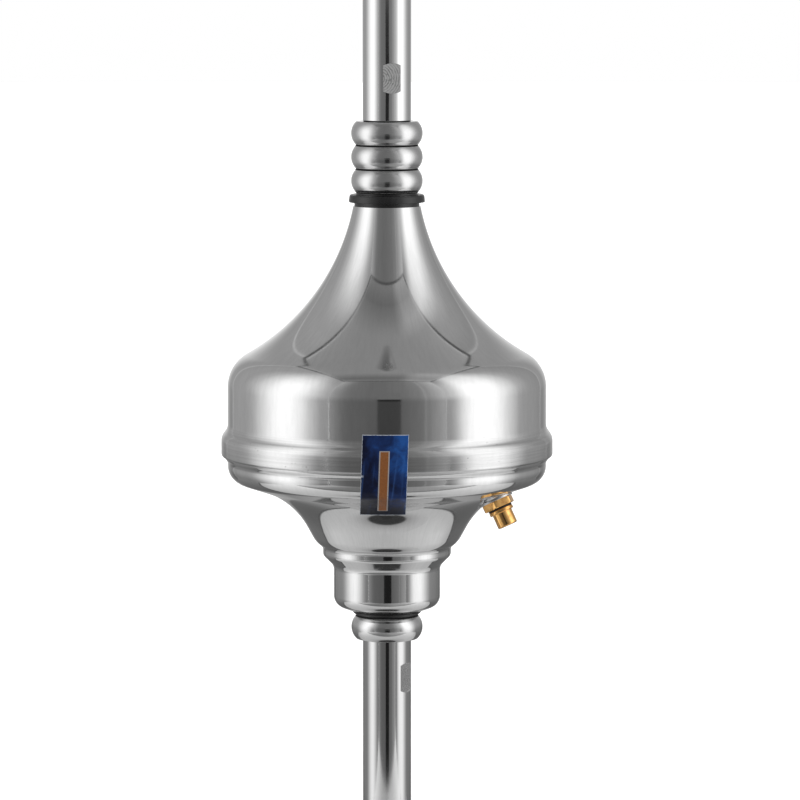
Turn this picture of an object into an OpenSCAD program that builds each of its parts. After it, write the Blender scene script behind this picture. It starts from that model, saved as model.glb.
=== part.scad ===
// Lightning rod: an earthed rod that runs through a floating polished steel head.
// Millimetres, +Z up, origin at the centre of the mast rod's lower end, front toward -Y.

/* [Rods] */
// Diameter of the tip rod and the mast rod
rod_d = 20; // [19:0.5:24]
// Length of the tip rod above the bead rings
tip_len = 250; // [120:5:400]
// Length of the tapered point
point_len = 42; // [20:1:60]
// Radius of the point's rounded end
point_r = 1.5; // [0.5:0.1:3]
// Length of the mast rod below its collar
mast_len = 150; // [60:5:300]
// Chamfer at the mast rod's lower end
mast_chamfer = 1.5; // [0.5:0.1:3]
// Diameter of the rods' threaded ends
thread_d = 16; // [12:0.5:17]
// Depth that each threaded end reaches into the coupling bar
thread_depth = 30; // [15:1:38]
// Chamfer at the rods' feet, where they meet the bead rings
foot_chamfer = 0.5; // [0.2:0.1:1.2]

/* [Wrench flats] */
// Depth of a flat below the rod's surface
flat_depth = 0.7; // [0.3:0.05:1.2]
// Height of a flat
flat_h = 12.4; // [8:0.1:15]
// Radius of a flat's arched ends
flat_end_r = 8; // [7.8:0.1:12]
// Height of the tip rod's flats above the bead rings
tip_flat_z = 17.9; // [12:0.1:40]
// Turn of the tip rod's flats from the front
tip_flat_turn = 13; // [-90:1:90]
// Drop of the mast rod's flats below the collar
mast_flat_z = 15.8; // [12:0.1:30]
// Turn of the mast rod's flats from the front
mast_flat_turn = 56; // [-90:1:90]

/* [Bead rings] */
// Largest diameter of a bead ring
ring_d = 29.6; // [27.5:0.1:34]
// Diameter at which a bead ring's side would meet its end faces without the rounding
ring_edge_d = 25.4; // [24:0.1:26.5]
// Height of a bead ring
ring_h = 9.8; // [7:0.1:12]
// Rounding of a bead ring's edges
ring_round = 0.45; // [0.2:0.05:0.8]

/* [Insulators] */
// Diameter of the upper insulator's step on the bell's neck
step_d = 26.8; // [26:0.1:28]
// Height of that step
step_h = 1.6; // [0.5:0.1:3]
// Diameter of the upper insulator's flange at its underside
flange_d = 31.5; // [29:0.1:36]
// Inward lean of the flange's side
flange_lean = 0.35; // [0:0.05:0.8]
// Height of the flange
flange_h = 3.2; // [2:0.1:5]
// Rounding of the flange's top edge
flange_round = 1; // [0.3:0.1:1.4]
// Height of the upper insulator's neck under the bead rings
pad_neck_h = 0.7; // [0.3:0.1:2]
// Diameter of the lower insulator's rim under the cup
rim_d = 30; // [28:0.1:32]
// Height of the lower insulator's visible cone
cone_h = 2.1; // [1:0.1:4]
// Length of both insulators' spigots inside the shells
spigot_len = 8; // [4:0.5:12]

/* [Shells] */
// Thickness of the spun sheet
wall = 1.2; // [0.8:0.1:1.6]
// Diameter of the drum wall
drum_d = 131.7; // [126:0.1:142]
// Height of the drum's straight wall
drum_h = 15.3; // [5:0.1:40]
// Radius of the drum's shoulder
shoulder_r = 15.1; // [10:0.1:20]
// Radius of the bell's flare
bell_r = 91.5; // [85:0.5:110]
// Lean of the bell at its neck, from the vertical
neck_lean = 11.3; // [8:0.1:16]
// Diameter of the bell's neck
neck_d = 27.9; // [27.5:0.1:30]

/* [Seam] */
// Step of the rolled bead out from the drum wall
bead_step = 2.7; // [2.2:0.05:4]
// Height of the bead's straight crest
bead_h = 6.2; // [4:0.1:9]
// Radius of the bead's two easing curves
ease_r = 5.5; // [4.5:0.1:8]
// Rounding of the bead's lower edge
bead_edge = 1; // [0.2:0.1:1.1]
// Height of the bead's lower edge above the dish's corner
rim_show = 4.2; // [4:0.1:8]
// Gap between the lower shell's rim and the bead round it
rim_gap = 0.1; // [0.05:0.05:0.3]
// Radius of the two curves that step the lower shell's rim out into the bead
joggle_r = 3; // [2.4:0.1:3.2]
// Depth below the bead's edge at which that step begins
joggle_drop = 3.4; // [2:0.1:3.8]

/* [Dish and cup] */
// Radius of the dish's outer corner
dish_round = 7.2; // [5:0.1:9]
// Slope of the dish's underside
dish_slope = 18.6; // [14:0.1:20]
// Radius of the flare between dish and skirt
flare_r = 33.4; // [28:0.1:37]
// Lean of the skirt from the vertical
skirt_lean = 28.8; // [24:0.1:34]
// Length of the skirt's straight stretch
skirt_len = 4.6; // [1:0.1:10]
// Radius of the skirt's rounded lower lip
lip_r = 11; // [6:0.1:14]
// Lean of the lip where it meets the band
lip_lean = 60; // [48:1:68]
// Diameter of the band
band_d = 53.1; // [50:0.1:58]
// Height of the band
band_h = 2.4; // [2:0.1:5]
// Radius of the hollow between lip and band
band_hollow = 2.2; // [0.5:0.1:2.5]
// Radius of the ogee's upper, rounded curve
ogee_r = 2.5; // [1.5:0.1:3.2]
// Radius of the ogee's lower, hollow curve
ogee_hollow = 4; // [2:0.1:5]
// Lean of the ogee's straight stretch
ogee_lean = 45; // [35:1:55]
// Diameter of the cup
cup_d = 44.1; // [42:0.1:47]
// Height of the cup's straight wall
cup_h = 10.8; // [6:0.1:25]
// Radius of the cup's lower corner
cup_round = 5.2; // [2.5:0.1:5.5]
// Slope of the cup's bottom
cup_slope = 20; // [10:0.5:28]
// Diameter of the hole in the cup's bottom
cup_hole_d = 25.6; // [24.5:0.1:27]

/* [Port] */
// Turn of the port from the front
port_turn = 70; // [40:1:140]
// Slope of the underside where the port sits
port_slope = 26; // [24:0.5:29]
// Diameter of the flat pad pressed into the dish
pad_d = 15.2; // [14.8:0.1:17]
// Lift of the pad from the dish's surface
pad_lift = 0.35; // [0.1:0.05:0.5]
// Diameter of the port washer
washer_d = 14.2; // [12:0.1:14.4]
// Thickness of the port washer
washer_t = 1; // [0.5:0.1:1.5]
// Width of the hex across its flats
hex_af = 12; // [11.5:0.1:13]
// Height of the hex
hex_h = 3; // [1.5:0.1:4]
// Turn of the hex about its own axis
hex_turn = 22; // [0:1:59]
// Diameter of the bush's shank through the dish
shank_d = 9.8; // [9:0.1:10.4]
// Thickness of the O-ring between hex and plug
seal_t = 0.8; // [0.5:0.1:1.5]
// Diameter of the O-ring
seal_d = 10.2; // [9.4:0.1:11]
// Diameter of the plug's flange
plug_flange_d = 10.3; // [9.5:0.1:11.5]
// Thickness of the plug's flange
plug_flange_h = 1.4; // [0.8:0.1:2.5]
// Diameter of the plug's barrel
barrel_d = 8.4; // [6.5:0.1:9.4]
// Length of the plug's barrel
barrel_len = 6; // [3:0.1:12]
// Rounding of the barrel's end
barrel_round = 0.6; // [0.2:0.1:1.5]
// Diameter of the plug's screw
screw_d = 6; // [4:0.1:6.5]
// Length of the plug's screw inside the bush
screw_len = 4.5; // [3:0.1:6]
// Width of the lock nut across its flats
nut_af = 14; // [13:0.1:16]
// Thickness of the lock nut
nut_h = 3; // [2:0.1:5]
// Thickness of both solder tags
tag_t = 0.8; // [0.4:0.1:1.2]
// Reach of the port tag's ear from the port's axis
ear_reach = 14; // [12:0.5:18]
// Width of both tags' ears
ear_w = 5; // [4:0.1:7]

/* [Inside the head] */
// Diameter of the coupling bar
bar_d = 22; // [20:0.5:24]
// Gap between the bar's ends and the insulators
bar_gap = 0.5; // [0.3:0.1:0.9]
// Spare depth of the bar's tapped holes
tap_spare = 4; // [2:0.5:8]
// Diameter of the bar's shoulder under the module
shoulder_d = 34; // [30:0.5:40]
// Height of that shoulder
shoulder_h = 4; // [2:0.5:8]
// Thickness of the module's pad
pad_t = 2; // [1:0.1:4]
// Outer diameter of the module's pad and washer
pad_od = 38; // [34:0.5:44]
// Height of the module's underside above the dish's corner
module_lift = 4.2; // [2:0.1:8]
// Diameter of the trigger module
module_d = 96; // [84:1:106]
// Height of the trigger module
module_h = 38; // [25:1:42]
// Rounding of the module's edges
module_round = 3; // [1:0.1:5]
// Width of the rim round the module's resin
module_rim = 3; // [1.5:0.1:4]
// Depth of the resin below that rim
resin_drop = 1.5; // [0.5:0.1:3]
// Diameter of the raised boss that carries the module's washer
boss_d = 40; // [38.5:0.5:44]
// Thickness of the module's washer
disc_t = 2; // [1:0.1:3]
// Width of the module nut across its flats
big_nut_af = 32; // [30:0.5:34]
// Height of the module nut
big_nut_h = 10; // [6:0.5:14]
// Reach of the earth tag's ear from the bar's axis
earth_reach = 26; // [24:0.5:28]
// Diameter of both leads
lead_d = 2.4; // [1.6:0.1:3]
// Distance of the earth lead's foot from the bar's axis
earth_foot = 32; // [30:0.5:36]
// Height of the earth lead's loop above the earth tag
loop_lift = 4; // [2:0.5:8]
// Bend radius of the body lead
bend_r = 8; // [5:0.5:10]
// Turn of the earth lead from the front
earth_turn = 150; // [100:1:180]

/* [Label] */
// Width of the label
label_w = 18.7; // [10:0.1:30]
// Thickness of the label
label_t = 0.25; // [0.15:0.05:0.4]
// Thickness of the glue under the label
glue_t = 0.05; // [0.03:0.01:0.1]
// Height of the label on the drum wall
label_top = 2.3; // [0.5:0.1:5]
// Slope of the flare where the label ends
label_end = 38; // [28:1:50]
// Tilt of the label
label_tilt = 2; // [-5:0.5:5]
// Sideways shift of the label
label_shift = -0.9; // [-5:0.1:5]

/* [Fits] */
// Radial clearance of bores round the threaded ends
bore_fit = 0.15; // [0.1:0.05:0.3]
// Radial clearance of threads in tapped holes
thread_fit = 0.05; // [0.02:0.01:0.1]
// Radial clearance of the insulators' spigots in the shells
spigot_fit = 0.15; // [0.1:0.05:0.3]

/* [Hidden] */
$fn = 96;
arc_steps = 14;
tube_sides = 16;
far = 60;

rod_r = rod_d / 2;
thread_r = thread_d / 2;
drum_r = drum_d / 2;
bead_r = drum_r + bead_step;
neck_r = neck_d / 2;
band_r = band_d / 2;
cup_r = cup_d / 2;
rim_r = rim_d / 2;
cup_hole_r = cup_hole_d / 2;
ring_edge_r = ring_edge_d / 2;
flange_r = flange_d / 2;
bar_r = bar_d / 2;
module_r = module_d / 2;

// Radius of a bead ring's rounded side, from its two diameters and its height
ring_bulge = ring_d / 2 - ring_edge_r;
ring_arc_r = (ring_h * ring_h / 4 + ring_bulge * ring_bulge) / (2 * ring_bulge);
ring_arc_a = asin((ring_h / 2 - ring_round) / (ring_arc_r - ring_round));

// Heights of the lower end, from the mast rod upward
z_low = mast_len + ring_h;
z_seat = z_low + cone_h;
z_low_end = z_seat + spigot_len;
cup_flat_r = cup_r - cup_round * (1 - sin(cup_slope));
z_cup0 = z_seat + (cup_flat_r - rim_r) * tan(cup_slope) + cup_round * cos(cup_slope);
z_cup1 = z_cup0 + cup_h;
ogee_run = band_r - cup_r - (ogee_r + ogee_hollow) * (1 - cos(ogee_lean));
z_band0 = z_cup1 + (ogee_r + ogee_hollow) * sin(ogee_lean) + ogee_run / tan(ogee_lean);
z_band1 = z_band0 + band_h;

// The dish's straight underside takes up what the curves leave between band and drum
dish_lean = 90 - dish_slope;
skirt_run = dish_round * (1 - cos(dish_lean)) + flare_r * (cos(skirt_lean) - cos(dish_lean))
  + skirt_len * sin(skirt_lean) + lip_r * (cos(skirt_lean) - cos(lip_lean));
dish_flat = (drum_r - band_r - skirt_run) / sin(dish_lean);
z_dish = z_band1 + dish_round * sin(dish_lean) + dish_flat * cos(dish_lean)
  + flare_r * (sin(dish_lean) - sin(skirt_lean)) + skirt_len * cos(skirt_lean)
  + lip_r * (sin(lip_lean) - sin(skirt_lean));

// Centres of the dish's curves, as [radius, height]
dish_c = [drum_r - dish_round, z_dish];
flare_start = dish_c + dish_round * out(-dish_lean) - dish_flat * out(90 - dish_lean);
flare_c = flare_start + flare_r * out(-dish_lean);
skirt_end = flare_c - flare_r * out(-skirt_lean) - skirt_len * out(90 - skirt_lean);
lip_c = skirt_end - lip_r * out(-skirt_lean);

// The hollow under the lip touches the lip's curve and the band
hollow_r = band_r + band_hollow - lip_c[0];
hollow_a = acos(hollow_r / (lip_r + band_hollow));
hollow_c = lip_c + (lip_r + band_hollow) * out(-hollow_a);

// Heights of the seam and the bell
z_bead0 = z_dish + rim_show;
z_bead1 = z_bead0 + bead_h;
ease_a = acos(1 - bead_step / (2 * ease_r));
z_drum0 = z_bead1 + 2 * ease_r * sin(ease_a);
z_drum1 = z_drum0 + drum_h;

// The lower shell's rim steps out and fills the bead up to the seal
rim_top_r = bead_r - wall - rim_gap;
joggle_a = acos(1 - (rim_top_r - drum_r) / (2 * joggle_r));
z_joggle0 = z_bead0 - joggle_drop;
z_joggle1 = z_joggle0 + 2 * joggle_r * sin(joggle_a);
seal_r = ease_r - wall - rim_gap;
seal_a = min(ease_a, 0.9 * acos(1 - wall / seal_r));
bell_a = acos((shoulder_r + bell_r * cos(neck_lean) - drum_r + neck_r) / (shoulder_r + bell_r));
shoulder_c = [drum_r - shoulder_r, z_drum1];
bell_c = shoulder_c + (shoulder_r + bell_r) * out(bell_a);
z_neck = bell_c[1] - bell_r * sin(neck_lean);

// Heights of the upper insulator, the bead rings and the tip
z_flange0 = z_neck + step_h;
z_flange1 = z_flange0 + flange_h;
z_rings = z_flange1 + pad_neck_h;
z_top = z_rings + 3 * ring_h;
z_tip = z_top + tip_len;
z_up_end = z_neck - spigot_len;

// Coupling bar and module
z_bar0 = z_low_end + bar_gap;
z_bar1 = z_up_end - bar_gap;
z_module = z_dish + module_lift;
z_boss = z_module + module_h;
z_earth = z_boss + disc_t;
z_big_nut = z_earth + tag_t;

// Port: the point on the flare that has the port's slope, then heights along the port's axis
port_p = flare_c - flare_r * out(port_slope - 90);
port_in = pad_lift - wall;
port_tag_z = port_in - tag_t;
port_hex_z = pad_lift + washer_t;
port_seal_z = port_hex_z + hex_h;
port_flange_z = port_seal_z + seal_t;
port_barrel_z = port_flange_z + plug_flange_h;
shank_end = port_tag_z - nut_h - 1;

// Unit vector at an angle above the horizontal, as [radius, height]
function out(a) = [cos(a), sin(a)];

// Points along an arc about centre c from angle a0 to angle a1
function arc(c, r, a0, a1, n = arc_steps) = [for (i = [0:n]) c + r * out(a0 + (a1 - a0) * i / n)];

function reversed(p) = [for (i = [len(p) - 1:-1:0]) p[i]];

// Upper shell's outline from bead to neck, set in by t
function bell_line(t) = concat(
  t == 0 ? arc([bead_r - bead_edge, z_bead0 + bead_edge], bead_edge, -90, 0, 4) : [[bead_r - t, z_bead0]],
  arc([bead_r - ease_r, z_bead1], ease_r - t, 0, ease_a, 8),
  arc([drum_r + ease_r, z_drum0], ease_r + t, 180 + ease_a, 180, 8),
  arc(shoulder_c, shoulder_r - t, 0, bell_a),
  arc(bell_c, bell_r + t, 180 + bell_a, 180 + bell_top(t), 2 * arc_steps)
);

// Angle at which the bell's surface, set in by t, reaches the neck's height
function bell_top(t) = asin((bell_c[1] - z_neck) / (bell_r + t));

// Radius inside the neck
neck_in = bell_c[0] - (bell_r + wall) * cos(bell_top(wall));
upper_spigot_r = neck_in - spigot_fit;
lower_spigot_r = cup_hole_r - spigot_fit;

// Height of the cup's underside at radius r
function cup_under(r) = z_seat + (r - rim_r) * tan(cup_slope);

// Lower shell's outline from rim to cup hole, set in by t
function dish_line(t) = concat(
  [[rim_top_r - t, z_bead1]],
  arc([rim_top_r - joggle_r, z_joggle1], joggle_r - t, 0, -joggle_a, 6),
  arc([drum_r + joggle_r, z_joggle0], joggle_r + t, 180 - joggle_a, 180, 6),
  arc(dish_c, dish_round - t, 0, -dish_lean),
  arc(flare_c, flare_r + t, 180 - dish_lean, 180 - skirt_lean),
  arc(lip_c, lip_r - t, -skirt_lean, -hollow_a, 6),
  arc(hollow_c, band_hollow + t, 180 - hollow_a, 180, 6),
  arc([band_r - ogee_r, z_band0], ogee_r - t, 0, -ogee_lean, 6),
  arc([cup_r + ogee_hollow, z_cup1], ogee_hollow + t, 180 - ogee_lean, 180, 6),
  arc([cup_r - cup_round, z_cup0], cup_round - t, 0, cup_slope - 90, 8),
  [[cup_hole_r, cup_under(cup_hole_r) + t / cos(cup_slope)]]
);

// Label's outline, raised by t from the surfaces that it lies on and stretched over the hollows
function label_line(t) = let (
  drum_p = [drum_r + t, z_drum0],
  ease_c = [bead_r - ease_r, z_bead1],
  to_drum = drum_p - ease_c,
  top_a = atan2(to_drum[1], to_drum[0]) - acos((ease_r + t) / norm(to_drum)),
  edge_c = [bead_r - bead_edge, z_bead0 + bead_edge],
  to_edge = edge_c - dish_c,
  low_a = acos((dish_round - bead_edge) / norm(to_edge)) - atan2(to_edge[1], to_edge[0])
) concat(
  [[drum_r + t, z_drum0 + label_top], drum_p],
  arc(ease_c, ease_r + t, top_a, 0, 4),
  arc(edge_c, bead_edge + t, 0, -low_a, 3),
  arc(dish_c, dish_round + t, -low_a, -dish_lean, 10),
  arc(flare_c, flare_r - t, 180 - dish_lean, 90 + label_end, 10)
);

// Tube along a path of [x, z] points in the XZ plane
module tube(path, r) {
  last = len(path) - 1;
  points = [
    for (i = [0:last])
      let (d = path[min(i + 1, last)] - path[max(i - 1, 0)], u = d / norm(d))
        for (k = [0:tube_sides - 1])
          let (a = 360 * k / tube_sides)
            [path[i][0] - r * cos(a) * u[1], r * sin(a), path[i][1] + r * cos(a) * u[0]]
  ];
  sides = [
    for (i = [0:last - 1])
      for (k = [0:tube_sides - 1])
        let (a = i * tube_sides + k, b = i * tube_sides + (k + 1) % tube_sides)
          [a, b, b + tube_sides, a + tube_sides]
  ];
  start = [for (k = [tube_sides - 1:-1:0]) k];
  end = [for (k = [0:tube_sides - 1]) last * tube_sides + k];
  polyhedron(points, concat([start], sides, [end]), convexity = 4);
}

module at_port() {
  rotate([0, 0, port_turn - 90])
    translate([port_p[0], 0, port_p[1]])
      rotate([0, 180 - port_slope, 0])
        children();
}

module hex(af, h) {
  cylinder(d = af / cos(30), h = h, $fn = 6);
}

// Pair of opposite wrench flats centred at height z
module flats(z, turn) {
  lens = flat_end_r - flat_h / 2;
  for (side = [0, 180])
    translate([0, 0, z])
      rotate([0, 0, turn + side])
        translate([0, flat_depth - rod_r, 0])
          rotate([90, 0, 0])
            intersection() {
              translate([0, lens, 0])
                cylinder(r = flat_end_r, h = rod_r);
              translate([0, -lens, 0])
                cylinder(r = flat_end_r, h = rod_r);
            }
}

module bead_ring(z) {
  bore_r = thread_r + bore_fit;
  side_c = [ring_d / 2 - ring_arc_r, ring_h / 2];
  side = arc(side_c, ring_arc_r, -ring_arc_a, ring_arc_a);
  low_c = side_c + (ring_arc_r - ring_round) * out(-ring_arc_a);
  high_c = side_c + (ring_arc_r - ring_round) * out(ring_arc_a);
  translate([0, 0, z])
    rotate_extrude()
      polygon(concat(
        [[bore_r, 0]],
        arc(low_c, ring_round, -90, -ring_arc_a, 4),
        side,
        arc(high_c, ring_round, ring_arc_a, 90, 4),
        [[bore_r, ring_h]]
      ));
}

module tip_rod() {
  taper_a = atan2(rod_r - point_r, point_len);
  end = arc([0, z_tip - point_r], point_r, taper_a, 90, 6);
  shank_z = z_bar1 - thread_depth;
  color("silver")
    difference() {
      rotate_extrude()
        polygon(concat(
          [
            [0, shank_z], [thread_r, shank_z], [thread_r, z_top], [rod_r - foot_chamfer, z_top],
            [rod_r, z_top + foot_chamfer], [rod_r, z_tip - point_len]
          ],
          end
        ));
      flats(z_top + tip_flat_z, tip_flat_turn);
    }
}

module mast_rod() {
  shank_z = z_bar0 + thread_depth;
  color("silver")
    difference() {
      rotate_extrude()
        polygon([
          [0, 0], [rod_r - mast_chamfer, 0], [rod_r, mast_chamfer], [rod_r, mast_len - foot_chamfer],
          [rod_r - foot_chamfer, mast_len], [thread_r, mast_len], [thread_r, shank_z], [0, shank_z]
        ]);
      flats(mast_len - mast_flat_z, mast_flat_turn);
    }
}

module bead_ring_upper() {
  color("lightgray")
    bead_ring(z_rings + 2 * ring_h);
}

module bead_ring_middle() {
  color("lightgray")
    bead_ring(z_rings + ring_h);
}

module bead_ring_lower() {
  color("lightgray")
    bead_ring(z_rings);
}

module mast_collar() {
  color("lightgray")
    bead_ring(mast_len);
}

module upper_insulator() {
  bore_r = thread_r + bore_fit;
  top_r = flange_r - flange_lean;
  color([0.06, 0.06, 0.06])
    rotate_extrude()
      polygon(concat(
        [
          [bore_r, z_up_end], [upper_spigot_r, z_up_end], [upper_spigot_r, z_neck],
          [step_d / 2, z_neck], [step_d / 2, z_flange0], [flange_r, z_flange0]
        ],
        arc([top_r - flange_round, z_flange1 - flange_round], flange_round, 0, 90, 6),
        [[ring_edge_r, z_flange1], [ring_edge_r, z_rings], [bore_r, z_rings]]
      ));
}

module lower_insulator() {
  bore_r = thread_r + bore_fit;
  color([0.06, 0.06, 0.06])
    rotate_extrude()
      polygon([
        [bore_r, z_low], [ring_edge_r, z_low], [rim_r, z_seat],
        [lower_spigot_r, cup_under(lower_spigot_r)], [lower_spigot_r, z_low_end], [bore_r, z_low_end]
      ]);
}

module upper_shell() {
  color("gainsboro")
    rotate_extrude()
      polygon(concat(bell_line(0), reversed(bell_line(wall))));
}

// Wedge of rubber between the lower shell's rim and the hollow of the bead
module seam_seal() {
  seat = arc([bead_r - ease_r, z_bead1], seal_r, 0, seal_a, 6);
  color([0.1, 0.1, 0.1])
    rotate_extrude()
      polygon(concat(
        [[rim_top_r - wall, z_bead1]],
        seat,
        [[rim_top_r - wall, seat[len(seat) - 1][1]]]
      ));
}

module lower_shell() {
  color("gainsboro")
    difference() {
      union() {
        difference() {
          rotate_extrude()
            polygon(concat(dish_line(0), reversed(dish_line(wall))));
          at_port()
            translate([0, 0, -4])
              cylinder(d = pad_d - 0.6, h = 8);
        }
        at_port()
          translate([0, 0, port_in])
            cylinder(d = pad_d, h = wall);
      }
      at_port()
        translate([0, 0, -4])
          cylinder(r = shank_d / 2 + bore_fit, h = 8);
    }
}

module coupling_bar() {
  tap_r = thread_r + thread_fit;
  tap = thread_depth + tap_spare;
  z_shoulder = z_module - pad_t;
  color([0.72, 0.72, 0.7])
    difference() {
      union() {
        translate([0, 0, z_bar0])
          cylinder(r = bar_r, h = z_bar1 - z_bar0);
        translate([0, 0, z_shoulder - shoulder_h])
          cylinder(d = shoulder_d, h = shoulder_h);
      }
      translate([0, 0, z_bar0 - 1])
        cylinder(r = tap_r, h = tap + 1);
      translate([0, 0, z_bar1 - tap])
        cylinder(r = tap_r, h = tap + 1);
    }
}

module washer(od, t) {
  difference() {
    cylinder(d = od, h = t);
    translate([0, 0, -1])
      cylinder(r = bar_r + bore_fit, h = t + 2);
  }
}

module module_pad() {
  color([0.55, 0.3, 0.15])
    translate([0, 0, z_module - pad_t])
      washer(pad_od, pad_t);
}

module trigger_module() {
  bore_r = bar_r + bore_fit;
  resin_z = z_boss - resin_drop;
  color([0.12, 0.13, 0.16])
    rotate_extrude()
      polygon(concat(
        [[bore_r, z_module]],
        arc([module_r - module_round, z_module + module_round], module_round, -90, 0, 6),
        [
          [module_r, z_boss], [module_r - module_rim, z_boss], [module_r - module_rim, resin_z],
          [boss_d / 2, resin_z], [boss_d / 2, z_boss], [bore_r, z_boss]
        ]
      ));
}

module module_washer() {
  color("silver")
    translate([0, 0, z_boss])
      washer(pad_od, disc_t);
}

module earth_tag() {
  color([0.8, 0.62, 0.35])
    translate([0, 0, z_earth])
      rotate([0, 0, earth_turn - 90])
        difference() {
          union() {
            cylinder(d = big_nut_af, h = tag_t);
            translate([0, -ear_w / 2, 0])
              cube([earth_reach, ear_w, tag_t]);
          }
          translate([0, 0, -1])
            cylinder(r = bar_r + bore_fit, h = tag_t + 2);
        }
}

module module_nut() {
  color("silver")
    translate([0, 0, z_big_nut])
      difference() {
        hex(big_nut_af, big_nut_h);
        translate([0, 0, -1])
          cylinder(r = bar_r + thread_fit, h = big_nut_h + 2);
      }
}

module earth_lead() {
  ear_x = earth_reach - ear_w / 2;
  half = (earth_foot - ear_x) / 2;
  loop_z = z_big_nut + loop_lift;
  path = concat(
    [[earth_foot, z_boss - resin_drop]],
    arc([ear_x + half, loop_z], half, 0, 180),
    [[ear_x, z_big_nut]]
  );
  color([0.15, 0.45, 0.2])
    rotate([0, 0, earth_turn - 90])
      tube(path, lead_d / 2);
}

module body_lead() {
  ear_x = ear_reach - ear_w / 2;
  axis = out(90 + port_slope);
  foot = port_p - ear_x * out(port_slope) - port_tag_z * axis;
  bend_start = foot + 2 * axis;
  bend_c = bend_start + bend_r * out(port_slope);
  path = concat(
    [foot],
    arc(bend_c, bend_r, 180 + port_slope, 180, 6),
    [[bend_c[0] - bend_r, z_module]]
  );
  color([0.6, 0.1, 0.08])
    rotate([0, 0, port_turn - 90])
      tube(path, lead_d / 2);
}

module port_bush() {
  color([0.8, 0.66, 0.32])
    at_port()
      difference() {
        union() {
          translate([0, 0, port_hex_z])
            rotate([0, 0, hex_turn])
              hex(hex_af, hex_h);
          translate([0, 0, shank_end])
            cylinder(d = shank_d, h = port_hex_z - shank_end);
        }
        translate([0, 0, port_seal_z - screw_len - 0.5])
          cylinder(r = screw_d / 2 + thread_fit, h = screw_len + 1);
      }
}

module port_washer() {
  color("silver")
    at_port()
      translate([0, 0, pad_lift])
        difference() {
          cylinder(d = washer_d, h = washer_t);
          translate([0, 0, -1])
            cylinder(r = shank_d / 2 + bore_fit, h = washer_t + 2);
        }
}

module port_seal() {
  inner_r = screw_d / 2 + bore_fit;
  color([0.05, 0.05, 0.05])
    at_port()
      rotate_extrude()
        polygon(concat(
          [[inner_r, port_seal_z]],
          arc([(seal_d - seal_t) / 2, port_seal_z + seal_t / 2], seal_t / 2, -90, 90, 8),
          [[inner_r, port_flange_z]]
        ));
}

module port_plug() {
  barrel_r = barrel_d / 2;
  barrel_end = port_barrel_z + barrel_len;
  screw_z = port_seal_z - screw_len;
  color([0.82, 0.68, 0.34])
    at_port()
      rotate_extrude()
        polygon(concat(
          [
            [0, screw_z], [screw_d / 2, screw_z], [screw_d / 2, port_flange_z],
            [plug_flange_d / 2, port_flange_z], [plug_flange_d / 2, port_barrel_z],
            [barrel_r, port_barrel_z]
          ],
          arc([barrel_r - barrel_round, barrel_end - barrel_round], barrel_round, 0, 90, 5),
          [[0, barrel_end]]
        ));
}

module port_tag() {
  color([0.8, 0.62, 0.35])
    at_port()
      translate([0, 0, port_tag_z])
        difference() {
          union() {
            cylinder(d = nut_af, h = tag_t);
            translate([0, -ear_w / 2, 0])
              cube([ear_reach, ear_w, tag_t]);
          }
          translate([0, 0, -1])
            cylinder(r = shank_d / 2 + bore_fit, h = tag_t + 2);
        }
}

module port_lock_nut() {
  color([0.8, 0.66, 0.32])
    at_port()
      translate([0, 0, port_tag_z - nut_h])
        difference() {
          hex(nut_af, nut_h);
          translate([0, 0, -1])
            cylinder(r = shank_d / 2 + thread_fit, h = nut_h + 2);
        }
}

module seam_label() {
  color([0.08, 0.2, 0.5])
    intersection() {
      rotate([0, 0, -120])
        rotate_extrude(angle = 60)
          polygon(concat(label_line(glue_t), reversed(label_line(glue_t + label_t))));
      translate([label_shift, 0, z_bead0])
        rotate([0, label_tilt, 0])
          translate([-label_w / 2, -2 * far, -far])
            cube([label_w, 2 * far, 2 * far]);
    }
}

tip_rod();
bead_ring_upper();
bead_ring_middle();
bead_ring_lower();
upper_insulator();
upper_shell();
seam_seal();
lower_shell();
lower_insulator();
mast_collar();
mast_rod();
coupling_bar();
module_pad();
trigger_module();
module_washer();
earth_tag();
module_nut();
earth_lead();
body_lead();
port_bush();
port_washer();
port_seal();
port_plug();
port_tag();
port_lock_nut();
seam_label();
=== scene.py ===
import math

import bmesh
import bpy
from mathutils import Matrix, Vector


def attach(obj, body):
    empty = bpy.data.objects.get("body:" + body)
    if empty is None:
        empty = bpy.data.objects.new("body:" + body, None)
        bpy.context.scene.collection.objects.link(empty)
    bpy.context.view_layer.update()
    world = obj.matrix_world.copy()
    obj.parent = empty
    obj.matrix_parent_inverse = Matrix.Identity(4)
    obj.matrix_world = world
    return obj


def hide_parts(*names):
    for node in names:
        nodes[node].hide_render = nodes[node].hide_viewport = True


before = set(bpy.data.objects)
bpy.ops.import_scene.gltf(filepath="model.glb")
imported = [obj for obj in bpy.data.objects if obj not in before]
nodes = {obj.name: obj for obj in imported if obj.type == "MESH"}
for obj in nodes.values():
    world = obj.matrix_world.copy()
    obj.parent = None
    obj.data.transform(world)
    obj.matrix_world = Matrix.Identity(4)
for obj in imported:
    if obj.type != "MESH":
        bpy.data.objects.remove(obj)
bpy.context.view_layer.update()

scene = bpy.context.scene
MM = 0.001
MICRON = 0.000001

# Sizes in mm and degrees, as in the part's source apart from small roundings

# Rods
ROD_R = 10.0
TIP_LEN = 250.0
POINT_LEN = 42.0
POINT_R = 1.5
MAST_LEN = 150.0
MAST_CHAMFER = 1.5
FOOT_CHAMFER = 0.5
THREAD_R = 8.0
THREAD_DEPTH = 30.0
BAR_GAP = 0.5

# Wrench flats
FLAT_DEPTH = 0.7
FLAT_H = 12.4
FLAT_END_R = 8.0
TIP_FLAT_LIFT = 17.9
TIP_FLAT_TURN = 13.0
MAST_FLAT_DROP = 15.8
MAST_FLAT_TURN = 56.0

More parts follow.
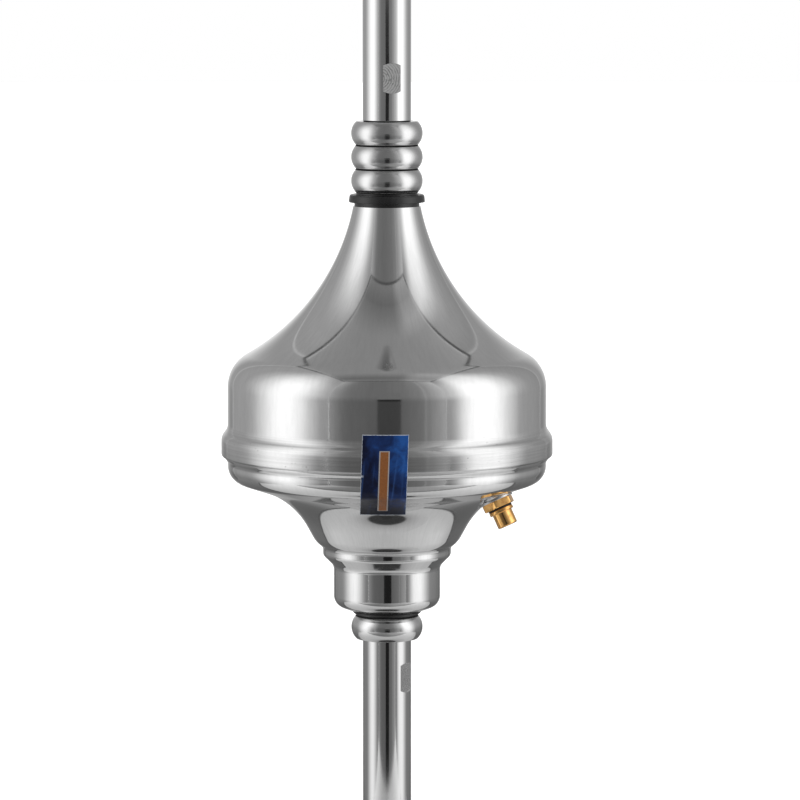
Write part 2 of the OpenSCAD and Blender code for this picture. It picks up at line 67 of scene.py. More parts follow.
# Bead rings
RING_R = 14.8
RING_EDGE_R = 12.7
RING_H = 9.8
RING_ROUND = 0.45

# Insulators
STEP_R = 13.4
STEP_H = 1.6
FLANGE_R = 15.75
FLANGE_LEAN = 0.35
FLANGE_H = 3.2
FLANGE_ROUND = 0.95
PAD_NECK_H = 0.7
RIM_R = 15.0
CONE_H = 2.1
SPIGOT_LEN = 8.0

# Shells
WALL = 1.2
DRUM_R = 65.85
DRUM_H = 15.3
SHOULDER_R = 15.1
BELL_R = 91.5
NECK_LEAN = 11.3
NECK_R = 13.95

# Seam
BEAD_STEP = 2.7
BEAD_H = 6.2
EASE_R = 5.5
BEAD_EDGE = 1.0
RIM_SHOW = 4.2
RIM_GAP = 0.1
JOGGLE_R = 3.0
JOGGLE_DROP = 3.4

# Dish and cup
DISH_ROUND = 7.2
DISH_SLOPE = 18.6
FLARE_R = 33.4
SKIRT_LEAN = 28.8
SKIRT_LEN = 4.6
LIP_R = 11.0
LIP_LEAN = 60.0
BAND_R = 26.55
BAND_H = 2.4
BAND_HOLLOW = 2.2
OGEE_R = 2.5
OGEE_HOLLOW = 4.0
OGEE_LEAN = 45.0
CUP_R = 22.05
CUP_H = 10.8
CUP_ROUND = 5.2
CUP_SLOPE = 20.0
CUP_HOLE_R = 12.8

# Port
PORT_TURN = 70.0
PORT_SLOPE = 26.0
PAD_R = 7.6
PAD_LIFT = 0.35
PAD_EASE = 0.5
WASHER_R = 7.1
WASHER_T = 1.0
HEX_AF = 12.0
HEX_H = 3.0
HEX_TURN = 22.0
SHANK_R = 4.9
SHANK_SPARE = 1.0
SEAL_R = 5.1
SEAL_T = 0.8
PLUG_FLANGE_R = 5.15
PLUG_FLANGE_H = 1.4
BARREL_R = 4.2
BARREL_LEN = 6.0
BARREL_ROUND = 0.6
SCREW_R = 3.0
SCREW_LEN = 4.5
SCREW_SPARE = 0.5
TAG_T = 0.8
LOCK_NUT_H = 3.0

# Label
LABEL_W = 18.7
LABEL_T = 0.25
GLUE_T = 0.05
LABEL_TOP = 2.3
LABEL_END = 38.0
LABEL_TILT = 2.0
LABEL_SHIFT = -0.9

# Fits
BORE_FIT = 0.15
THREAD_FIT = 0.05
SPIGOT_FIT = 0.15

# Sides of the turned meshes
SHELL_SIDES = 256
ROD_SIDES = 200
RING_SIDES = 160
PORT_SIDES = 96
HOLE_SIDES = 72


# Outlines as (radius, height), with angles in degrees

def sin(angle):
    return math.sin(math.radians(angle))


def cos(angle):
    return math.cos(math.radians(angle))


def tan(angle):
    return math.tan(math.radians(angle))


def asin(value):
    return math.degrees(math.asin(value))


def acos(value):
    return math.degrees(math.acos(value))


def slope_of(line):
    return math.degrees(math.atan2(line[1], line[0]))


def out(angle):
    """Unit vector at an angle above the horizontal."""
    return Vector((cos(angle), sin(angle)))


def arc(centre, radius, start, end, steps):
    return [Vector(centre) + radius * out(start + (end - start) * i / steps) for i in range(steps + 1)]


def between(start, end, steps):
    """Points on a straight line, both ends among them."""
    return [Vector(start).lerp(Vector(end), i / steps) for i in range(steps + 1)]


def rounded(points, radii, steps):
    """An outline whose corners named in radii, as index: radius, become small arcs."""
    made = []
    for i, point in enumerate(points):
        corner = Vector(point)
        if i not in radii:
            made.append(corner)
            continue
        back = (Vector(points[i - 1]) - corner).normalized()
        ahead = (Vector(points[(i + 1) % len(points)]) - corner).normalized()
        half = back.angle(ahead) / 2
        run = radii[i] / math.tan(half)
        centre = corner + (back + ahead).normalized() * (radii[i] / math.sin(half))
        start = corner + back * run - centre
        turn = start.angle_signed(corner + ahead * run - centre)
        for k in range(steps + 1):
            made.append(centre + Matrix.Rotation(-turn * k / steps, 2) @ start)
    return made


# Heights of the lower end, from the mast rod upward
bore_r = THREAD_R + BORE_FIT
z_low = MAST_LEN + RING_H
z_seat = z_low + CONE_H
cup_flat_r = CUP_R - CUP_ROUND * (1 - sin(CUP_SLOPE))
z_cup0 = z_seat + (cup_flat_r - RIM_R) * tan(CUP_SLOPE) + CUP_ROUND * cos(CUP_SLOPE)
z_cup1 = z_cup0 + CUP_H
ogee_run = BAND_R - CUP_R - (OGEE_R + OGEE_HOLLOW) * (1 - cos(OGEE_LEAN))
z_band0 = z_cup1 + (OGEE_R + OGEE_HOLLOW) * sin(OGEE_LEAN) + ogee_run / tan(OGEE_LEAN)
z_band1 = z_band0 + BAND_H

# The dish's straight underside takes up what the curves leave between band and drum
dish_lean = 90 - DISH_SLOPE
skirt_run = (DISH_ROUND * (1 - cos(dish_lean)) + FLARE_R * (cos(SKIRT_LEAN) - cos(dish_lean))
             + SKIRT_LEN * sin(SKIRT_LEAN) + LIP_R * (cos(SKIRT_LEAN) - cos(LIP_LEAN)))
dish_flat = (DRUM_R - BAND_R - skirt_run) / sin(dish_lean)
z_dish = (z_band1 + DISH_ROUND * sin(dish_lean) + dish_flat * cos(dish_lean)
          + FLARE_R * (sin(dish_lean) - sin(SKIRT_LEAN)) + SKIRT_LEN * cos(SKIRT_LEAN)
          + LIP_R * (sin(LIP_LEAN) - sin(SKIRT_LEAN)))

# Centres of the dish's curves
dish_c = Vector((DRUM_R - DISH_ROUND, z_dish))
flare_start = dish_c + DISH_ROUND * out(-dish_lean) - dish_flat * out(90 - dish_lean)
flare_c = flare_start + FLARE_R * out(-dish_lean)
skirt_end = flare_c - FLARE_R * out(-SKIRT_LEAN) - SKIRT_LEN * out(90 - SKIRT_LEAN)
lip_c = skirt_end - LIP_R * out(-SKIRT_LEAN)
hollow_a = acos((BAND_R + BAND_HOLLOW - lip_c[0]) / (LIP_R + BAND_HOLLOW))
hollow_c = lip_c + (LIP_R + BAND_HOLLOW) * out(-hollow_a)

# Heights of the seam and the bell
bead_r = DRUM_R + BEAD_STEP
z_bead0 = z_dish + RIM_SHOW
z_bead1 = z_bead0 + BEAD_H
rim_top_r = bead_r - WALL - RIM_GAP
joggle_a = acos(1 - (rim_top_r - DRUM_R) / (2 * JOGGLE_R))
z_joggle0 = z_bead0 - JOGGLE_DROP
z_joggle1 = z_joggle0 + 2 * JOGGLE_R * sin(joggle_a)
ease_a = acos(1 - BEAD_STEP / (2 * EASE_R))
z_drum0 = z_bead1 + 2 * EASE_R * sin(ease_a)
z_drum1 = z_drum0 + DRUM_H
bell_a = acos((SHOULDER_R + BELL_R * cos(NECK_LEAN) - DRUM_R + NECK_R) / (SHOULDER_R + BELL_R))
shoulder_c = Vector((DRUM_R - SHOULDER_R, z_drum1))
bell_c = shoulder_c + (SHOULDER_R + BELL_R) * out(bell_a)
z_neck = bell_c[1] - BELL_R * sin(NECK_LEAN)

# Heights of the upper insulator, the bead rings, the tip and the wrench flats
z_flange0 = z_neck + STEP_H
z_flange1 = z_flange0 + FLANGE_H
z_rings = z_flange1 + PAD_NECK_H
z_top = z_rings + 3 * RING_H
z_tip = z_top + TIP_LEN
z_tip_flat = z_top + TIP_FLAT_LIFT
z_mast_flat = MAST_LEN - MAST_FLAT_DROP

# Port: the point on the flare that has its slope, its axis outward and down, and heights along that axis
port_p = flare_c - FLARE_R * out(PORT_SLOPE - 90)
port_turn = Matrix.Rotation(math.radians(PORT_TURN - 90), 4, "Z")
port_lean = Matrix.Rotation(math.radians(180 - PORT_SLOPE), 4, "Y")
port_frame_mm = port_turn @ Matrix.Translation((port_p[0], 0, port_p[1])) @ port_lean
port_frame = port_turn @ Matrix.Translation((port_p[0] * MM, 0, port_p[1] * MM)) @ port_lean
hex_z = PAD_LIFT + WASHER_T
seal_z = hex_z + HEX_H
flange_z = seal_z + SEAL_T
barrel_z = flange_z + PLUG_FLANGE_H
barrel_end = barrel_z + BARREL_LEN
shank_end = PAD_LIFT - WALL - TAG_T - LOCK_NUT_H - SHANK_SPARE


def bell_top(inset):
    """Angle at which the bell's surface, set in by inset, reaches the neck's height."""
    return asin((bell_c[1] - z_neck) / (BELL_R + inset))


def bell_line(inset, fine):
    """Upper shell's outline from bead to neck."""
    start = [Vector((bead_r - inset, z_bead0))]
    if inset == 0:
        start = arc((bead_r - BEAD_EDGE, z_bead0 + BEAD_EDGE), BEAD_EDGE, -90, 0, 8)
    return (start
            + arc((bead_r - EASE_R, z_bead1), EASE_R - inset, 0, ease_a, 8 * fine)
            + arc((DRUM_R + EASE_R, z_drum0), EASE_R + inset, 180 + ease_a, 180, 8 * fine)
            + arc(shoulder_c, SHOULDER_R - inset, 0, bell_a, 16 * fine)
            + arc(bell_c, BELL_R + inset, 180 + bell_a, 180 + bell_top(inset), 24 * fine))


def cup_under(radius):
    """Height of the cup's underside at a radius."""
    return z_seat + (radius - RIM_R) * tan(CUP_SLOPE)


def dish_line(inset, fine):
    """Lower shell's outline from rim to cup hole."""
    return ([Vector((rim_top_r - inset, z_bead1))]
            + arc((rim_top_r - JOGGLE_R, z_joggle1), JOGGLE_R - inset, 0, -joggle_a, 6 * fine)
            + arc((DRUM_R + JOGGLE_R, z_joggle0), JOGGLE_R + inset, 180 - joggle_a, 180, 6 * fine)
            + arc(dish_c, DISH_ROUND - inset, 0, -dish_lean, 16 * fine)
            + arc(flare_c, FLARE_R + inset, 180 - dish_lean, 180 - SKIRT_LEAN, 30 * fine)
            + arc(lip_c, LIP_R - inset, -SKIRT_LEAN, -hollow_a, 8 * fine)
            + arc(hollow_c, BAND_HOLLOW + inset, 180 - hollow_a, 180, 4 * fine)
            + arc((BAND_R - OGEE_R, z_band0), OGEE_R - inset, 0, -OGEE_LEAN, 6 * fine)
            + arc((CUP_R + OGEE_HOLLOW, z_cup1), OGEE_HOLLOW + inset, 180 - OGEE_LEAN, 180, 6 * fine)
            + arc((CUP_R - CUP_ROUND, z_cup0), CUP_ROUND - inset, 0, CUP_SLOPE - 90, 8 * fine)
            + [Vector((CUP_HOLE_R, cup_under(CUP_HOLE_R) + inset / cos(CUP_SLOPE)))])


# Meshes

def add_object(mesh):
    obj = bpy.data.objects.new(mesh.name, mesh)
    scene.collection.objects.link(obj)
    return obj


def finish_mesh(mesh, form, sharp):
    """An object from a bmesh, smooth apart from edges sharper than an angle."""
    bmesh.ops.recalc_face_normals(form, faces=form.faces)
    form.to_mesh(mesh)
    form.free()
    mesh.shade_smooth()
    mesh.set_sharp_from_angle(angle=math.radians(sharp))
    return add_object(mesh)


def add_mesh(name, verts, faces, sharp):
    mesh = bpy.data.meshes.new(name)
    mesh.from_pydata(verts, [], faces)
    mesh.validate()
    form = bmesh.new()
    form.from_mesh(mesh)
    return finish_mesh(mesh, form, sharp)


def even(count):
    """Angles in radians, evenly round a circle."""
    return [2 * math.pi * i / count for i in range(count)]


def lathe(name, line, angles, closed=True, sharp=30, move=None):
    """A turned mesh from an outline in mm. The function move shifts its points, in mm."""
    sides = len(angles)
    verts = []
    rows = []
    on_axis = 1e-6
    for radius, height in line:
        if radius < on_axis:
            rows.append([len(verts)] * sides)
            verts.append(Vector((0, 0, height)))
        else:
            rows.append(list(range(len(verts), len(verts) + sides)))
            verts.extend(Vector((radius * math.sin(a), -radius * math.cos(a), height)) for a in angles)
    faces = []
    for i in range(len(line) if closed else len(line) - 1):
        low = rows[i]
        high = rows[(i + 1) % len(line)]
        for j in range(sides):
            k = (j + 1) % sides
            face = list(dict.fromkeys((low[j], low[k], high[k], high[j])))
            if len(face) > 2:
                faces.append(face)
    if move:
        verts = [move(v) for v in verts]
    return add_mesh(name, [v * MM for v in verts], faces, sharp)


def carve(obj, form):
    """Cut a closed form out of an object's mesh."""
    cutter = finish_mesh(bpy.data.meshes.new("cutter"), form, sharp=30)
    cut = obj.modifiers.new("cut", "BOOLEAN")
    cut.operation = "DIFFERENCE"
    cut.solver = "EXACT"
    cut.object = cutter
    bpy.context.view_layer.update()
    evaluated = obj.evaluated_get(bpy.context.evaluated_depsgraph_get())
    obj.data = bpy.data.meshes.new_from_object(evaluated)
    obj.modifiers.clear()
    bpy.data.objects.remove(cutter)


def place(obj, node, slot, *mats):
    obj.data.materials.clear()
    for mat in mats:
        obj.data.materials.append(mat)
    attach(obj, "root")
    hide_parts(node)


# Materials

class Tree:
    """Short calls for a node tree: values and sockets are given by input name."""

    def __init__(self, tree):
        self.tree = tree
        tree.nodes.clear()

    def feed(self, socket, value):
        if isinstance(value, bpy.types.NodeSocket):
            self.tree.links.new(value, socket)
        else:
            socket.default_value = value

    def add(self, kind, inputs=None, **settings):
        node = self.tree.nodes.new(kind)
        for name, value in settings.items():
            setattr(node, name, value)
        for name, value in (inputs or {}).items():
            self.feed(node.inputs[name], value)
        return node

    def math(self, operation, a, b=0.0, c=0.0):
        return self.add("ShaderNodeMath", {0: a, 1: b, 2: c}, operation=operation).outputs[0]

    def times(self, a, b):
        return self.math("MULTIPLY", a, b)

    def apart(self, a, b):
        return self.math("ABSOLUTE", self.math("SUBTRACT", a, b))

    def total(self, *terms):
        """Sum of (socket, factor) pairs."""
        made = 0.0
        for value, factor in terms:
            made = self.math("MULTIPLY_ADD", value, factor, made)
        return made

    def fit(self, value, low, high, to_low=0.0, to_high=1.0):
        """A value's range, stretched to another range and held at its ends."""
        ends = {"From Min": low, "From Max": high, "To Min": to_low, "To Max": to_high}
        return self.add("ShaderNodeMapRange", {"Value": value, **ends}).outputs[0]

    def band(self, value, middle, half, soft):
        """1 within half of the middle, falling to 0 over soft."""
        return self.fit(self.apart(value, middle), half, half + soft, 1.0, 0.0)

    def vector(self, x, y, z=0.0):
        return self.add("ShaderNodeCombineXYZ", {0: x, 1: y, 2: z}).outputs[0]

    def split(self, vector):
        return self.add("ShaderNodeSeparateXYZ", {0: vector}).outputs

    def noise(self, vector, scale, detail=2.0, rough=0.5, distort=0.0):
        grain = {"Scale": scale, "Detail": detail, "Roughness": rough, "Distortion": distort}
        return self.add("ShaderNodeTexNoise", {"Vector": vector, **grain}).outputs["Fac"]

    def ramp(self, factor, stops, kind="CARDINAL"):
        """A colour or a grey level at each stop, given as (place, colour)."""
        node = self.add("ShaderNodeValToRGB", {"Fac": factor})
        node.color_ramp.interpolation = kind
        elements = node.color_ramp.elements
        while len(elements) < len(stops):
            elements.new(0.5)
        for element, (position, color) in zip(elements, stops):
            element.position = position
            element.color = (color, color, color, 1) if isinstance(color, (int, float)) else (*color, 1)
        return node.outputs["Color"]

    def mix(self, factor, low, high):
        """The colour low where the factor is 0, and high where it is 1."""
        node = self.add("ShaderNodeMix", {"Factor": factor}, data_type="RGBA")
        for socket, color in ((node.inputs[6], low), (node.inputs[7], high)):
            self.feed(socket, color if isinstance(color, bpy.types.NodeSocket) else (*color, 1))
        return node.outputs[2]

    def mapped(self, place=None):
        """The object's coordinates, or those of another matrix's frame."""
        vector = self.add("ShaderNodeTexCoord").outputs["Object"]
        if place is None:
            return vector
        back = place.inverted()
        shift = {"Location": back.to_translation(), "Rotation": back.to_euler()}
        return self.add("ShaderNodeMapping", {"Vector": vector, **shift}).outputs[0]

    def turned(self, about=None):
        """Coordinates about an axis, a form of them for ring lines, and angle, radius and height."""
        vector = self.mapped(about)
        x, y, z = self.split(vector)
        radius = self.math("SQRT", self.math("ADD", self.times(x, x), self.times(y, y)))
        slow = self.times(self.math("ADD", x, y), 0.02)
        return vector, self.vector(radius, z, slow), self.math("ARCTAN2", x, y), radius, z

    def uv(self, name):
        return self.split(self.add("ShaderNodeUVMap", uv_map=name).outputs[0])[:2]

    def gloss(self):
        """Painted sheen: more toward grazing, as on a smooth sheet."""
        return self.add("ShaderNodeFresnel", {"IOR": SHEET_IOR}).outputs[0]

    def bump(self, *heights):
        """Normal from the sum of (socket, height in metres) pairs."""
        relief = {"Height": self.total(*heights), "Strength": 1.0, "Distance": 1.0}
        return self.add("ShaderNodeBump", relief).outputs[0]

    def surface(self, **inputs):
        names = {"color": "Base Color", "rough": "Roughness", "metal": "Metallic", "normal": "Normal",
                 "aniso": "Anisotropic", "tangent": "Tangent", "spec": "Specular IOR Level"}
        shader = self.add("ShaderNodeBsdfPrincipled", {names[key]: value for key, value in inputs.items()})
        self.add("ShaderNodeOutputMaterial", {"Surface": shader.outputs[0]})

    def emission(self, *levels):
        """Light of its own, the sum of (socket, factor) pairs."""
        shader = self.add("ShaderNodeEmission", {"Strength": self.total(*levels)})
        self.add("ShaderNodeOutputMaterial", {"Surface": shader.outputs[0]})


def material(name):
    mat = bpy.data.materials.new(name)
    mat.use_nodes = True
    return mat, Tree(mat.node_tree)


def dim(tone, share):
    return [c * share for c in tone]


def steel(name, tone, rough, spread, line_um, wave_um,
          streak_um=0.0, aniso=0.0, about=None, seam=None, joints=()):
    """Turned and polished steel: ring lines, slow waves, smudges and hairlines.

    It can have rubbing streaks, coarser work between a seam's two heights and painted shade, near-black
    lines, at joints' heights.
    """
    mat, tree = material(name)
    vector, ring, angle, radius, height = tree.turned(about)
    lines = tree.noise(ring, scale=2600, detail=3, rough=0.6)
    waves = tree.noise(ring, scale=110, detail=1, rough=0.4)
    smudge = tree.noise(vector, scale=55, detail=4, rough=0.6, distort=0.4)
    drawn = {"Vector": vector, "Rotation": (0.4, 0.7, 0.2), "Scale": (900, 60, 900)}
    hair = tree.add("ShaderNodeMapping", drawn).outputs[0]
    scratch = tree.fit(tree.noise(hair, scale=1, detail=1, rough=0.3), 0.74, 0.78)
    heights = [(lines, line_um * MICRON), (waves, wave_um * MICRON)]
    roughs = [(tree.fit(smudge, 0.35, 0.7, rough, rough + spread), 1.0),
              (tree.fit(lines, 0.35, 0.65), spread * 0.6),
              (scratch, 0.04)]
    color = tree.mix(tree.fit(smudge, 0.3, 0.75), tone, dim(tone, 0.955))
    if streak_um:
        along = tree.vector(angle, tree.times(height, 3.0), tree.times(radius, 3.0))
        streaks = tree.noise(along, scale=34, detail=4, rough=0.7)
        heights.append((streaks, streak_um * MICRON))
        color = tree.mix(tree.fit(streaks, 0.4, 0.7, 0, 0.45), color, dim(tone, 0.86))
    if seam:
        low, high = seam
        near = tree.band(height, (low + high) / 2, (high - low) / 2, 1.5 * MM)
        coarse = tree.times(tree.noise(ring, scale=900, detail=3, rough=0.7), near)
        pits = tree.times(tree.fit(tree.noise(vector, scale=620, detail=2, rough=0.6), 0.69, 0.74), near)
        heights += [(coarse, 5 * MICRON), (pits, -9 * MICRON)]
        roughs.append((near, 0.05))
        worn = tree.times(near, tree.fit(coarse, 0.3, 0.7, 0.1, 0.75))
        color = tree.mix(worn, color, dim(tone, 0.74))
        color = tree.mix(tree.times(pits, 0.5), color, dim(tone, 0.4))
    metal = 1.0
    if joints:
        # Painted shade: near-black, less metallic lines at the heights where parts meet
        rings = [tree.band(height, joint * MM, 0.28 * MM, 0.3 * MM) for joint in joints]
        joint_shade = tree.times(rings[0], tree.fit(smudge, 0.2, 0.5, 0.8, 1.0))
        for other in rings[1:]:
            joint_shade = tree.math("MAXIMUM", joint_shade, other)
        roughs.append((joint_shade, 0.5))
        color = tree.mix(joint_shade, color, (0.006, 0.006, 0.006))
        metal = tree.math("SUBTRACT", 1.0, joint_shade)
    inputs = {"color": color, "rough": tree.total(*roughs), "metal": metal, "normal": tree.bump(*heights)}
    if aniso:
        inputs["aniso"] = aniso
        inputs["tangent"] = tree.add("ShaderNodeTangent", direction_type="RADIAL", axis="Z").outputs[0]
    tree.surface(**inputs)
    return mat


def milled(name, tone, dark, rough, swirl_um, turn, flat_z):
    """The face of a wrench flat: curved cutter marks, stronger in the middle, on a duller ground."""
    cutter_aside = -5.2
    mat, tree = material(name)
    spin = Matrix.Rotation(math.radians(turn), 4, "Z")
    vector = tree.mapped(spin @ Matrix.Translation((cutter_aside * MM, 0, flat_z * MM)))
    marks = {"Vector": vector, "Scale": 310.0, "Distortion": 4.0,
             "Detail": 4.0, "Detail Scale": 2.6, "Detail Roughness": 0.6}
    swirl = tree.add("ShaderNodeTexWave", marks, wave_type="RINGS", rings_direction="Y").outputs["Fac"]
    height = tree.split(vector)["Z"]
    blotch = tree.fit(tree.noise(vector, scale=420, detail=3), 0.35, 0.6, 0.3, 1.0)
    patch = tree.times(tree.band(height, 0.0, 3.5 * MM, 3.5 * MM), blotch)
    spots = tree.fit(tree.noise(vector, scale=760, detail=3, rough=0.6), 0.56, 0.68)
    torn = tree.times(tree.band(height, 0.0, 1.0 * MM, 3.0 * MM), spots)
    grain = tree.noise(vector, scale=3000)
    cut = tree.times(tree.fit(swirl, 0.15, 0.5, 1.0, 0.0), patch)
    tree.surface(color=tree.mix(tree.math("MAXIMUM", cut, torn), tone, dim(tone, dark)),
                 rough=tree.fit(grain, 0.3, 0.7, rough, rough + 0.1), metal=1.0,
                 normal=tree.bump((tree.times(swirl, patch), swirl_um * MICRON), (grain, 1.5 * MICRON)))
    return mat


def moulded(name, tone, rough, grain_um, dust):
    """Black moulded insulation or rubber: fine grain, a little dust and rubbed paler patches."""
    mat, tree = material(name)
    vector, ring = tree.turned()[:2]
    grain = tree.noise(vector, scale=2200, detail=3)
    lines = tree.noise(ring, scale=1500)
    patch = tree.noise(vector, scale=260, detail=4, rough=0.65)
    specks = tree.fit(tree.noise(vector, scale=3600, detail=1), 0.72, 0.8)
    color = tree.mix(tree.fit(patch, 0.45, 0.75, 0, 0.5), tone, [c * 2.0 + 0.004 for c in tone])
    color = tree.mix(tree.times(specks, dust), color, (0.2, 0.2, 0.19))
    tree.surface(color=color, rough=tree.fit(patch, 0.3, 0.75, rough, rough + 0.12),
                 normal=tree.bump((grain, grain_um * MICRON), (lines, grain_um * 0.8 * MICRON)))
    return mat


def brass(name, tone, rough, about):
    """Turned brass with darker, redder stains."""
    mat, tree = material(name)
    vector, ring = tree.turned(about)[:2]
    lines = tree.noise(ring, scale=5200, detail=3, rough=0.6)
    stain = tree.noise(vector, scale=420, detail=4, rough=0.6, distort=0.5)
    stained = (tone[0] * 0.7, tone[1] * 0.56, tone[2] * 0.5)
    tree.surface(color=tree.mix(tree.fit(stain, 0.42, 0.7, 0, 0.75), tone, stained),
                 rough=tree.fit(stain, 0.3, 0.75, rough, rough + 0.1), metal=1.0,
                 normal=tree.bump((lines, 1.6 * MICRON)))
    return mat


def plain(name, tone, rough, scale, metal=0.0):
    """Inner pieces: mottled colour, fine grain and uneven gloss."""
    mat, tree = material(name)
    vector = tree.mapped()
    mottle = tree.noise(vector, scale, detail=4, rough=0.6)
    tree.surface(color=tree.mix(tree.fit(mottle, 0.3, 0.7), dim(tone, 0.78), tone),
                 rough=tree.fit(mottle, 0.3, 0.7, rough, rough + 0.12), metal=metal,
                 normal=tree.bump((tree.noise(vector, scale * 6), 4 * MICRON)))
    return mat


def printed(name):
    """Film: deep blue clouds, paler toward one corner, a plain copper stripe and a pale worn edge."""
    stripe_u = 0.49
    stripe_v = 0.47
    mat, tree = material(name)
    u, v = tree.uv("print")
    vector = tree.vector(u, tree.times(v, 2.1))
    cloud = tree.noise(vector, scale=3, detail=5, rough=0.62, distort=0.5)
    blues = [(0.34, (0.002, 0.003, 0.01)), (0.6, (0.003, 0.006, 0.026)),
             (0.8, (0.004, 0.022, 0.1)), (0.95, (0.008, 0.066, 0.26))]
    color = tree.ramp(tree.total((u, 0.3), (v, 0.3), (cloud, 0.75)), blues, "LINEAR")
    streaks = tree.noise(tree.vector(tree.total((u, 9.0), (v, -2.0)), tree.times(v, 1.1)), scale=1, rough=0.4)
    color = tree.mix(tree.fit(streaks, 0.58, 0.8, 0, 0.5), color, (0.05, 0.14, 0.4))
    # Painted shade: the end of the film that lies under the dish is darkened toward black
    color = tree.mix(tree.fit(v, 0.07, 0.16, 0.7, 0.0), color, (0.002, 0.003, 0.008))
    copper = tree.mix(tree.noise(vector, scale=34, detail=3), (0.16, 0.055, 0.014), (0.26, 0.1, 0.032))
    border = tree.times(tree.band(u, stripe_u, 0.105, 0.012), tree.band(v, stripe_v, 0.397, 0.004))
    stripe = tree.times(tree.band(u, stripe_u, 0.082, 0.01), tree.band(v, stripe_v, 0.39, 0.004))
    color = tree.mix(border, color, (0.3, 0.28, 0.27))
    color = tree.mix(stripe, color, copper)
    ragged = tree.times(tree.noise(vector, scale=26, detail=3), 0.02)
    side = tree.math("ADD", tree.apart(u, 0.5), ragged)
    end = tree.math("MULTIPLY_ADD", ragged, 0.5, tree.apart(v, 0.5))
    edge = tree.math("MAXIMUM", tree.fit(side, 0.498, 0.504), tree.fit(end, 0.499, 0.502))
    nick = tree.times(tree.band(v, 0.665, 0.006, 0.006), tree.fit(u, 0.0, 0.07, 1, 0))
    color = tree.mix(tree.times(tree.math("MAXIMUM", edge, nick), 0.8), color, (0.5, 0.54, 0.6))
    tree.surface(color=color, rough=tree.fit(cloud, 0.3, 0.7, 0.3, 0.42), spec=0.15,
                 normal=tree.bump((tree.noise(vector, scale=180), 2 * MICRON)))
    return mat


STEEL = (0.665, 0.665, 0.665)
mat_shell = steel("polished_steel_shell", STEEL, rough=0.045, spread=0.04, line_um=0.5, wave_um=4.0,
                  streak_um=0.5, seam=(z_bead0 * MM, (z_drum0 - 1) * MM))
mat_rod = steel("polished_steel_rod", STEEL, rough=0.045, spread=0.03, line_um=0.5, wave_um=1.2,
                joints=(z_top, MAST_LEN))
mat_ring = steel("satin_steel_ring", (0.62, 0.62, 0.62), rough=0.12, spread=0.05, line_um=0.7, wave_um=1.0,
                 aniso=0.4, joints=[z_rings + RING_H * i for i in range(3)])
mat_collar = steel("satin_steel_collar", (0.63, 0.63, 0.63), rough=0.1, spread=0.05, line_um=1.0, wave_um=1.0,
                   aniso=0.4, joints=(z_low,))
mat_washer = steel("satin_steel_washer", (0.64, 0.64, 0.64), rough=0.2, spread=0.1, line_um=1.0, wave_um=0.5,
                   about=port_frame)
mat_flat_tip = milled("milled_steel_tip", (0.68, 0.68, 0.68), dark=0.45, rough=0.36, swirl_um=9.0,
                      turn=TIP_FLAT_TURN, flat_z=z_tip_flat)
mat_flat_mast = milled("milled_steel_mast", (0.66, 0.66, 0.66), dark=0.8, rough=0.2, swirl_um=1.5,
                       turn=MAST_FLAT_TURN, flat_z=z_mast_flat)
mat_black = moulded("insulator_black", (0.009, 0.009, 0.0095), rough=0.24, grain_um=4.0, dust=0.3)
mat_rubber = moulded("seal_rubber", (0.008, 0.008, 0.0085), rough=0.42, grain_um=6.0, dust=0.2)
mat_brass = brass("brass_turned", (0.95, 0.56, 0.2), rough=0.09, about=port_frame)
mat_inner = {
    "satin_steel": plain("satin_steel_inner", (0.6, 0.6, 0.6), rough=0.3, scale=180, metal=1.0),
    "brass": plain("brass_inner", (0.83, 0.62, 0.3), rough=0.28, scale=240, metal=1.0),
    "seal_rubber": mat_rubber,
    "fibre": plain("fibre_washer", (0.34, 0.16, 0.07), rough=0.6, scale=420),
    "potting": plain("potting_resin", (0.03, 0.034, 0.045), rough=0.3, scale=90),
    "lead_green": plain("lead_green", (0.05, 0.22, 0.06), rough=0.4, scale=300),
    "lead_red": plain("lead_red", (0.42, 0.03, 0.025), rough=0.4, scale=300),
}

# Shells
bell = lathe("bell_shell", bell_line(0, 4) + bell_line(WALL, 1)[::-1], even(SHELL_SIDES), sharp=28)
place(bell, "upper_shell", "polished_steel", mat_shell)

# The dish has finer steps round the port, where a flat pad is pressed into it
fine_start = PORT_TURN - 13
fine_step = 0.3
fine_steps = 88
coarse_steps = 170
fine = [math.radians(fine_start + fine_step * i) for i in range(fine_steps)]
coarse_run = 2 * math.pi - (fine[-1] - fine[0])
coarse = [fine[-1] + coarse_run * i / coarse_steps for i in range(1, coarse_steps)]
port_back = port_frame_mm.inverted()


def pressed(point):
    """A point of the dish, moved onto the flat pad where it is near the port."""
    reach = 4.0
    mid_wall = -0.75
    near = port_back @ point
    away = math.hypot(near[0], near[1])
    if abs(near[2]) > reach or away > PAD_R + PAD_EASE:
        return point
    share = min(1.0, max(0.0, (PAD_R + PAD_EASE - away) / PAD_EASE))
    flat = PAD_LIFT if near[2] > mid_wall else PAD_LIFT - WALL
    near[2] += (flat - near[2]) * share * share * (3 - 2 * share)
    return port_frame_mm @ near


dish = lathe("dish_shell", dish_line(0, 3) + dish_line(WALL, 1)[::-1], fine + coarse, sharp=28, move=pressed)
hole_r = (SHANK_R + BORE_FIT) * MM
hole_depth = 8 * MM
hole = bmesh.new()
bmesh.ops.create_cone(hole, cap_ends=True, segments=HOLE_SIDES, radius1=hole_r, radius2=hole_r,
                      depth=hole_depth, matrix=port_frame)
carve(dish, hole)
place(dish, "lower_shell", "polished_steel", mat_shell)


# Bead rings

